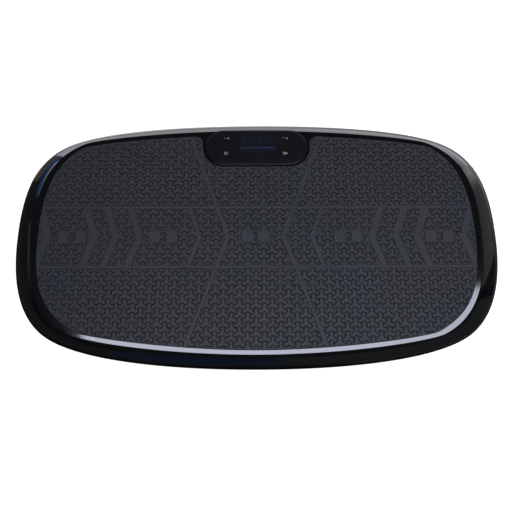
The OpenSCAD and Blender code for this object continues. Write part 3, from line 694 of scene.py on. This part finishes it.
def shell_top():
    s0, c0 = math.sin(math.radians(EDGE)), math.cos(math.radians(EDGE))
    ph = lambda a: math.radians(EDGE + (90-EDGE)*a/90)
    u = lambda a: crest + (math.sin(ph(a))-s0)/(1-s0)*(outer-crest)
    z = lambda a: LAND - 22*(c0-math.cos(ph(a)))/c0
    R = [(inset(matr, -0.4), DECK), (inset(matr, -0.4), LAND-0.40), (inset(matr, -0.47), LAND-0.15), (inset(matr, -0.62), LAND-0.03), (inset(matr, -0.80), LAND)]
    R += [(inset(matr, -0.9) + t*(inset(crest, 0.85)-inset(matr, -0.9)), LAND) for t in (0.0, 0.5, 1.0)]
    R += [(inset(crest, 0.65), LAND), (inset(crest, 0.35), LAND-0.03), (inset(crest, 0.08), LAND-0.09), (inset(crest, -0.15), LAND-0.18)]
    R += [(u(a), z(a)-0.06*max(0, 1-a/12)) for a in np.concatenate([[1.6, 3.0, 5], np.arange(8, 90.1, 4.1)])]
    for s in np.linspace(0.12, 1, 9):        # skirt: tucks in towards the bottom
        R.append((inset(outer, 12*s**2.1), MID - (MID-SKIRT-1.2)*s))
    R += [(inset(outer, 12.5), SKIRT+0.35), (inset(outer, 13.4), SKIRT), (inset(outer, 14.2), SKIRT), (inset(outer, 14.8), SKIRT+0.5)]
    for s in np.linspace(0.9, 0.1, 6):
        R.append((inset(outer, 12*s**2.1 + 3), MID - (MID-SKIRT-1.2)*s))
    R += [(inset(u(a), 3), z(a)) for a in (90, 75, 60, 48)]
    R += [(inset(crest, 4), UNDER)]
    v, f = loft(R)
    f = [x[::-1] for x in f]
    o = mesh_object("upper_casing", v, f, None, [M_GLOSS])
    # the land round the panel
    left, right, q, rc = notch_loop()
    back = inset(crest, 2.0)
    xr = q[0] + 6
    top = np.array([p for p in back if p[1] > 0 and abs(p[0]) < xr])
    plate = np.vstack([right, [[xr, right[-1, 1] + 1.5]], top, [[-xr, left[0, 1] + 1.5]], left])
    fill = prism("fill", plate, DECK-0.2, LAND)
    cut(o, [fill], "UNION")
    cut(o, [prism("pocket", stadium(PHW, PR, PY, 32), DECK+1.2, LAND+6)])
    cut(o, [prism("window", [(-58, PY-14.75), (58, PY-14.75), (58, PY+26.25), (-58, PY+26.25)], UNDER-3, DECK+4)])
    smooth_by_angle(o, 28)
    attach(o, "platform")
    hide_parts("top_shell")
    return o


top_obj = shell_top()

# ------------------------------------------------------------------ control panel
def flat_ring(name, rings, body, mat, ang=30, caps=(True, True)):
    v, f = loft(rings)
    o = mesh_object(name, v, f, body, [mat])
    smooth_by_angle(o, ang)
    return o


def panel():
    st = lambda d, n=40: stadium(PHW-d, PR-d, PY, n)
    z0, zt = DECK+1.2, LAND+0.45
    # the frame round the lens: outer wall, rounded top, inner wall
    R = [(st(0.1), z0), (st(0.1), zt-1.65), (st(0.2), zt-1.35), (st(0.4), zt-1.1), (st(1.2), zt-0.42), (st(1.42), zt-0.27),
         (st(1.62), zt-0.15), (st(1.82), zt-0.05), (st(2.0), zt), (st(2.12), zt-0.02), (st(2.24), zt-0.2), (st(2.3), zt-0.6), (st(2.3), z0)]
    n = len(R[0][0])
    v, f = loft(R, caps=False)
    f += [((len(R)-1)*n+i, (len(R)-1)*n+(i+1) % n, (i+1) % n, i) for i in range(n)]
    b = mesh_object("panel_frame", v, f, "platform", [M_BEZEL])
    smooth_by_angle(b, 40)
    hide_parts("panel_bezel")
    zl = LAND + 0.2
    R = [(st(2.4), z0), (st(2.4), zl-0.55), (st(2.5), zl-0.28), (st(2.75), zl-0.08), (st(3.2), zl)]
    l = flat_ring("panel_window", R, "platform", M_LENS, 50)
    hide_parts("panel_lens")
    return zl


ZL = panel()


def decal(name, polys, z, mat, h=0.03):
    """Thin printed or lit shapes that lie on the lens."""
    V, F = [], []
    for P in polys:
        P = np.array(P, float)
        if poly_area(P) < 0:
            P = P[::-1]
        n, s = len(P), len(V)
        V += [(x*MM, y*MM, (z+0.0)*MM) for x, y in P] + [(x*MM, y*MM, (z+h)*MM) for x, y in P]
        F += [tuple(s+i for i in range(n-1, -1, -1)), tuple(s+n+i for i in range(n))]
        F += [(s+i, s+(i+1) % n, s+n+(i+1) % n, s+n+i) for i in range(n)]
    o = mesh_object(name, V, F, "platform", [mat], smooth=False)
    return o


def rect(x0, y0, x1, y1):
    return [(x0, y0), (x1, y0), (x1, y1), (x0, y1)]


def icons():
    k = []
    x, y = -49.2, 142.8                      # mode key: a small frame with a bar in it
    k += [rect(x-3.0, y-2.4, x-2.1, y+2.4), rect(x+1.9, y-2.4, x+2.8, y+2.4), rect(x-3.0, y+1.7, x+2.8, y+2.4), rect(x-3.0, y-2.4, x+0.2, y-1.7),
          rect(x-1.5, y-1.1, x-0.3, y+1.1)]
    x = 47.4                                 # start and pause key: two bars and a triangle
    k += [rect(x-3.6, y-2.2, x-2.4, y+2.2), rect(x-1.7, y-2.2, x-0.5, y+2.2), [(x+0.1, y-2.4), (x+3.9, y), (x+0.1, y+2.4)]]
    x, y = -50.9, 169.9                      # plus and a dot
    k += [rect(x-1.3, y-0.35, x+1.3, y+0.35), rect(x-0.35, y-1.3, x+0.35, y+1.3), circle(x+5.0, y-0.1, 1.35, 18)]
    x = 44.4                                 # minus and a dot
    k += [rect(x-1.5, y+0.3, x+1.5, y+1.0), circle(x+5.6, y-0.2, 1.35, 18)]
    return decal("touch_marks", k, ZL, M_PRINT)


def display():
    off = []
    T = 0.7
    for cx in (-20.5, -9.5, 6.5, 17.5):      # unlit seven-segment digits
        w, h = 3.3, 4.4
        cy = 165.5
        for yy in (cy-h, cy, cy+h):
            off.append(rect(cx-w+0.5, yy-T/2, cx+w-0.5, yy+T/2))
        for xx in (cx-w, cx+w):
            off.append(rect(xx-T/2, cy+0.55, xx+T/2, cy+h-0.35))
            off.append(rect(xx-T/2, cy-h+0.35, xx+T/2, cy-0.55))
    off += [circle(-1.5, 167.6, 0.7, 12), circle(-1.5, 163.4, 0.7, 12)]
    for i in range(8):
        off.append(rect(-22.5+i*6.0, 146.6, -19.9+i*6.0, 148.2))
    d = decal("display_segments_off", off, ZL, M_LED_OFF, 0.012)
    lit = [rect(-26.2+i*3.78, 150.9, -23.2+i*3.78, 154.6) for i in range(9)]
    e = decal("display_bar_dim", lit, ZL, M_LED, 0.02)
    lit = [rect(-26.2+i*3.78, 150.9, -23.2+i*3.78, 154.6) for i in range(9, 15)]
    e2 = decal("display_bar_lit", lit, ZL, M_LED_ON, 0.02)
    return d, e, e2


icons()
display()

# ------------------------------------------------------------------ lower casing
def base():
    prof_out = [(58, 14), (50.5, 20), (44, 28), (37.8, 38), (33.0, 48), (29.3, 58), (26.4, 68), (24.6, 76), (24.0, 79.2)]
    R = [(inset(outer, 66), 12.0), (inset(outer, 62.5), 12.25), (inset(outer, 60), 12.9)]
    xs, zs = [p[0] for p in prof_out][::-1], [p[1] for p in prof_out][::-1]
    for zz in np.linspace(14, 79.2, 22):
        R.append((inset(outer, float(np.interp(zz, [p[1] for p in prof_out], [p[0] for p in prof_out]))), zz))
    R += [(inset(outer, 24.4), 79.8), (inset(outer, 25), 80), (inset(outer, 26.3), 80), (inset(outer, 27), 79.5)]
    for zz in np.linspace(74, 18, 12):
        R.append((inset(outer, float(np.interp(zz, [p[1] for p in prof_out], [p[0] for p in prof_out])) + 3.4), zz))
    R.append((inset(outer, 64), 15))
    v, f = loft(R)
    o = mesh_object("lower_casing", v, f, None, [M_BASE])
    # rear recess for the inlet and the switch
    tray = prism("tray", [(-52, 154), (52, 154), (52, 168), (-52, 168)], 28, 78)
    solid_rings = R[:3+22+2]
    cut(o, [tray], "UNION")
    # the part of the tray outside the wall is taken off again
    v2, f2 = loft([(r_, z_) for r_, z_ in R[:25]] + [(R[24][0], 90.0)])
    hull = bpy.data.meshes.new("hull")
    hull.from_pydata([tuple(p) for p in v2], [], f2)
    ho = bpy.data.objects.new("hull", hull)
    bpy.context.scene.collection.objects.link(ho)
    cut(o, [ho], "INTERSECT")
    cut(o, [prism("recess", [(-48, 159), (48, 159), (48, 220), (-48, 220)], 32, 74),
            prism("inlet_hole", [(-36, 150), (-8, 150), (-8, 165), (-36, 165)], 42.8, 63.2),
            prism("switch_hole", [(17.4, 150), (30.6, 150), (30.6, 165), (17.4, 165)], 43.4, 62.6)])
    for i in range(-4, 5):
        cut(o, [prism("vent", np.vstack([circle(i*16, -30, 2.5, 8, 0, math.pi, True), circle(i*16, -54, 2.5, 8, math.pi, 2*math.pi, True)]), 5, 20)])
    for a in (-1, 1):
        for b_ in (-1, 1):
            cut(o, [prism("foot_hole", circle(a*235, b_*98, 3.3, 24), 5, 30)])
    smooth_by_angle(o, 30)
    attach(o, "base")
    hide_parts("base_shell")
    return o


base_obj = base()


# ------------------------------------------------------------------ finishes on the CAD nodes
ASSIGN = {
    M_FOOT: ["suction_feet"], M_RUBBER: ["link_bushes", "drive_belt"],
    M_PAINT: ["base_frame", "deck_plate", "deck_channels", "pivot_hangers", "link_clevises", "pivot_posts", "bearing_blocks", "motor_bracket", "motor_can"],
    M_STEEL: ["pivot_shaft", "crankshaft", "eccentric_hubs", "motor_shaft", "link_pins", "link_left", "link_right", "bearing_outer_rings", "bearing_balls",
              "bearing_inner_rings", "link_bearing_left", "link_bearing_right"],
    M_ZINC: ["foot_screws", "foot_nuts", "post_bolts", "block_bolts", "motor_bolts", "deck_screws", "display_screws", "board_screws", "touch_springs"],
    M_BLACKOX: ["shaft_circlips", "hub_set_screws"], M_ALU: ["motor_end_plate", "crank_pulley", "motor_pulley", "heatsink"],
    M_BRONZE: ["pivot_bushes"], M_BRASS: ["inlet_pins"], M_MAGNET: ["motor_magnets"], M_ROTOR: ["rotor_core"],
    M_BOARD: ["power_board", "display_board"], M_PARTS: ["board_components", "display_module"], M_TAPE: ["board_transformer"],
    M_NYLON: ["board_standoffs"], M_INLET: ["power_inlet", "switch_housing"], M_RED: ["switch_rocker"], M_WIRE: ["mains_lead", "motor_lead", "display_lead"]}
for m_, names in ASSIGN.items():
    for n_ in names:
        o_ = N[n_]
        o_.data.materials.clear()
        o_.data.materials.append(m_)

# ------------------------------------------------------------------ stage, light, camera
sc = bpy.context.scene


def card(name, corners, col, strength, fade=None, cols=None):
    """A reflector that shows only in glossy surfaces. fade = (axis, from, to, factor at the far end), in the card's own metres."""
    me = bpy.data.meshes.new(name)
    me.from_pydata([tuple(c) for c in corners], [], [tuple(range(len(corners)))])
    m = bpy.data.materials.new(name)
    m.use_nodes = True
    nt = m.node_tree
    nt.nodes.clear()
    e = nt.nodes.new("ShaderNodeEmission")
    e.inputs["Color"].default_value = (*col, 1)
    e.inputs["Strength"].default_value = strength
    if fade:
        ax, a, b, k = fade
        tc = nt.nodes.new("ShaderNodeTexCoord")
        sep = nt.nodes.new("ShaderNodeSeparateXYZ")
        nt.links.new(tc.outputs["Object"], sep.inputs[0])
        mr = nt.nodes.new("ShaderNodeMapRange")
        mr.interpolation_type = "SMOOTHSTEP"
        for i_, v_ in ((1, a), (2, b), (3, strength), (4, strength*k)):
            mr.inputs[i_].default_value = v_
        nt.links.new(sep.outputs[ax], mr.inputs[0])
        nt.links.new(mr.outputs[0], e.inputs["Strength"])
    out = nt.nodes.new("ShaderNodeOutputMaterial")
    nt.links.new(e.outputs[0], out.inputs[0])
    me.materials.append(m)
    o = bpy.data.objects.new(name, me)
    sc.collection.objects.link(o)
    o.visible_camera = o.visible_diffuse = o.visible_shadow = o.visible_transmission = False
    return o


def quad_y(x0, x1, z0, z1, y):
    return [(x0, y, z0), (x1, y, z0), (x1, y, z1), (x0, y, z1)]


def quad_x(y0, y1, z0, z1, x):
    return [(x, y0, z0), (x, y1, z0), (x, y1, z1), (x, y0, z1)]


def quad_z(x0, x1, y0, y1, z):
    return [(x0, y0, z), (x1, y0, z), (x1, y1, z), (x0, y1, z)]


def floor():
    me = bpy.data.meshes.new("floor")
    s = 9.0
    me.from_pydata([(-s, -s, 0), (s, -s, 0), (s, s, 0), (-s, s, 0)], [], [(0, 1, 2, 3)])
    m, nt, p = new_mat("floor_white")
    v = noise(nt, 3, 3, 0.5)
    nt.links.new(mix(nt, v, (0.84, 0.84, 0.845), (0.87, 0.87, 0.872)), p.inputs["Base Color"])
    p.inputs["Roughness"].default_value = 0.9
    p.inputs["Specular IOR Level"].default_value = 0.0
    p.inputs["Emission Color"].default_value = (1, 1, 1, 1)
    p.inputs["Emission Strength"].default_value = 0.90
    me.materials.append(m)
    o = bpy.data.objects.new("floor", me)
    sc.collection.objects.link(o)
    o.visible_glossy = False


floor()


def backdrop():
    """A plain white wall far round the stage, seen only by the camera."""
    n, r, h = 64, 8.8, 9.0
    pts = [(r*math.cos(2*math.pi*i/n), r*math.sin(2*math.pi*i/n), z) for z in (0.0, h) for i in range(n)]
    me = bpy.data.meshes.new("backdrop")
    me.from_pydata(pts, [], [(i, (i+1) % n, n+(i+1) % n, n+i) for i in range(n)])
    m, nt, p = new_mat("backdrop_white")
    nt.links.new(mix(nt, noise(nt, 0.6, 2, 0.5), (0.90, 0.905, 0.91), (0.92, 0.925, 0.93)), p.inputs["Emission Color"])
    p.inputs["Emission Strength"].default_value = 1.0
    p.inputs["Base Color"].default_value = (0, 0, 0, 1)
    p.inputs["Specular IOR Level"].default_value = 0.0
    me.materials.append(m)
    o = bpy.data.objects.new("backdrop", me)
    sc.collection.objects.link(o)
    o.visible_glossy = o.visible_diffuse = o.visible_shadow = o.visible_transmission = False


backdrop()

w = bpy.data.worlds.new("studio") if not sc.world else sc.world
sc.world = w
w.use_nodes = True
wn = w.node_tree
wn.nodes.clear()
lp = wn.nodes.new("ShaderNodeLightPath")
b1, b2, mx, wo = wn.nodes.new("ShaderNodeBackground"), wn.nodes.new("ShaderNodeBackground"), wn.nodes.new("ShaderNodeMixShader"), wn.nodes.new("ShaderNodeOutputWorld")
b1.inputs[0].default_value, b1.inputs[1].default_value = (0.80, 0.81, 0.84, 1), 0.20
b2.inputs[0].default_value, b2.inputs[1].default_value = (0.088, 0.092, 0.106, 1), 0.9
wn.links.new(lp.outputs["Is Glossy Ray"], mx.inputs[0])
wn.links.new(b1.outputs[0], mx.inputs[1])
wn.links.new(b2.outputs[0], mx.inputs[2])
wn.links.new(mx.outputs[0], wo.inputs[0])


def area(name, loc, rot, size, power, col=(1, 1, 1), glossy=True, spread=None):
    l = bpy.data.lights.new(name, "AREA")
    l.shape, l.size, l.size_y, l.energy, l.color = "RECTANGLE", size[0], size[1], power, col
    o = bpy.data.objects.new(name, l)
    o.location, o.rotation_euler = loc, rot
    o.visible_glossy = glossy
    sc.collection.objects.link(o)
    return o


H = 2.139
# overhead panel: its far edge and its left end are where the land's bright front stops
rz = math.radians(2.84)
Wd, Dp = 2.09, 0.80
ydir, xdir = Vector((-math.sin(rz), math.cos(rz), 0)), Vector((math.cos(rz), math.sin(rz), 0))
far_left = Vector((-0.855, 0.303, H))
light_y, light_x = Vector((-math.sin(math.radians(5.5)), math.cos(math.radians(5.5)), 0)), Vector((math.cos(math.radians(5.5)), math.sin(math.radians(5.5)), 0))
light_left = Vector((-0.945, 0.303, H))
area("overhead", light_left + light_x*(Wd/2+0.95) - light_y*Dp/2, (0, 0, math.radians(5.5)), (Wd, Dp), 3.15*math.pi*Wd*Dp, (0.95, 0.97, 1.0), glossy=False)
area("fill_back", (0, 1.9, 1.8), (math.radians(-46), 0, 0), (2.4, 1.0), 6, (1, 1, 1), glossy=False)
area("fill_front", (0.5, -2.2, 1.6), (math.radians(54), 0, 0), (2.4, 1.0), 15, (1, 1, 1), glossy=False)

# what the gloss mirrors: a bright wall and a pale floor behind, dimmer ones to the right, a navy glow in front,
# a narrow light strip high on the left, and something blue and something brown at the back left
fl, fr = far_left, far_left + xdir*Wd
card("mirror_overhead", [fl, fr, fr - ydir*Dp, fl - ydir*Dp], (0.79, 0.83, 1.0), 14.0, (0, 0.5, 1.15, 0.88))
card("mirror_wall_back", quad_y(-1.52, 1.95, 0.0, 0.46, 1.55), (0.93, 0.96, 1.0), 3.0, (0, -0.6, 0.6, 1.15))
card("mirror_wall_back_high", quad_y(-1.50, 1.95, 0.46, 1.22, 1.56), (0.90, 0.95, 1.0), 4.4, (0, 1.1, 1.9, 0.5))
card("mirror_floor_back_far", quad_z(-1.1, 2.3, 0.62, 1.55, 0.02), (0.93, 0.95, 1.0), 1.15, (0, -0.4, 0.5, 1.7))
card("mirror_floor_back", quad_z(-0.52, 2.0, 0.215, 0.62, 0.02), (0.97, 0.98, 1.0), 2.35, (0, -0.42, 0.35, 0.30))
card("mirror_right", [(1.95, 0.36, 0.22), (1.95, 1.55, 0.22), (1.95, 1.55, 1.45), (1.95, 0.05, 1.45)], (0.95, 0.98, 1.0), 0.50, (1, 1.0, 1.38, 4.4))
card("mirror_floor_right", quad_z(0.42, 1.95, -0.35, 1.30, 0.018), (0.97, 0.98, 1.0), 0.16, (1, 0.2, 0.9, 2.0))
card("mirror_left_high", [(-2.0, y_, z_) for y_, z_ in ((0.10, 1.22), (0.30, 1.24), (0.49, 1.21), (0.60, 1.10), (0.67, 1.02), (0.70, 1.12), (0.52, 1.42), (0.30, 1.46), (0.10, 1.42))],
     (1.0, 0.99, 0.95), 0.14, (1, 0.12, 0.42, 3.2))
# in front: a dark room, with one broad card each to the left, the middle and the right
for name_, a0, a1, e1, col, k in (("dark", -180, -88, 36, (0.7, 0.8, 1.3), 0.03), ("dark_right", -90, 2, 36, (0.7, 0.8, 1.3), 0.03),
                                  ("left", -190, -115, 30, (0.9, 1.0, 1.1), 0.10), ("navy", -115, -86, 36, (0.5, 0.9, 1.9), 0.14),
                                  ("right", -86, -3, 36, (0.9, 1.0, 1.1), 0.15)):
    far, z1 = (6.4, 0.14 + 6.4*math.tan(math.radians(e1))) if name_.startswith("dark") else (6.0, 0.14 + 6.0*math.tan(math.radians(e1)))
    n_ = 6
    for i_ in range(n_):
        b0, b1 = (math.radians(a0 + (a1-a0)*j_/n_) for j_ in (i_, i_+1))
        p0, p1 = (far*math.cos(b0), far*math.sin(b0)), (far*math.cos(b1), far*math.sin(b1))
        card("mirror_front_%s_%d" % (name_, i_), [(*p0, -0.5), (*p1, -0.5), (*p1, z1), (*p0, z1)], col, k, (2, 0.3, 3.4, 1.3) if name_ == "right" else None)
card("mirror_floor_near", quad_z(-0.80, 0.34, -0.46, 0.20, 0.012), (0.9, 0.95, 1.0), 0.006)
card("mirror_floor_front", quad_z(-3.0, 0.20, -3.0, -0.46, 0.018), (0.90, 0.98, 1.15), 0.085)
card("mirror_floor_front_right", quad_z(0.20, 3.0, -3.0, -0.35, 0.018), (0.93, 0.98, 1.10), 0.135)
card("mirror_floor_left", quad_z(-2.2, -0.80, -0.46, 0.30, 0.016), (1.0, 0.99, 1.05), 0.10)
card("mirror_back_left", [(-1.60, 1.52, 0.90), (-2.10, 1.10, 1.30), (-2.10, 1.10, 2.0), (-1.60, 1.52, 2.0)], (0.62, 0.78, 1.0), 1.2, (0, -2.05, -1.62, 3.6))
card("mirror_blue", [(-1.666, 1.679, 0.50), (-2.145, 1.082, 1.06), (-2.145, 1.082, 1.30), (-1.666, 1.679, 1.30)], (0.13, 0.31, 0.95), 1.15)
card("mirror_blue_pale", [(-1.650, 1.655, 0.40), (-2.000, 1.250, 0.48), (-2.000, 1.250, 0.60), (-1.650, 1.655, 0.60)], (0.55, 0.68, 1.0), 1.1)
card("mirror_brown", [(-0.533, 0.384, 0.019), (-0.625, 0.273, 0.019), (-0.625, 0.273, 0.184), (-0.533, 0.384, 0.184)], (1.0, 0.80, 0.52), 0.40)

cam = bpy.data.cameras.new("camera")
cam.sensor_width, cam.lens, cam.sensor_fit = 36.0, 42.0, "HORIZONTAL"
cam.clip_start, cam.clip_end = 0.01, 50
co = bpy.data.objects.new("camera", cam)
sc.collection.objects.link(co)
ztop = 0.140
target = Vector((-0.0026, -0.0302, ztop))
loc = Vector((-0.0026, -0.2937, ztop + 0.8783))
co.location = loc
co.rotation_euler = ((target-loc).to_track_quat("-Z", "Y") @ Quaternion((0, 0, 1), math.radians(-0.14))).to_euler()
cam.dof.use_dof = False
sc.camera = co

sc.view_settings.view_transform = "Standard"
sc.view_settings.look = "None"
sc.view_settings.exposure = 0.0
sc.view_settings.gamma = 1.0
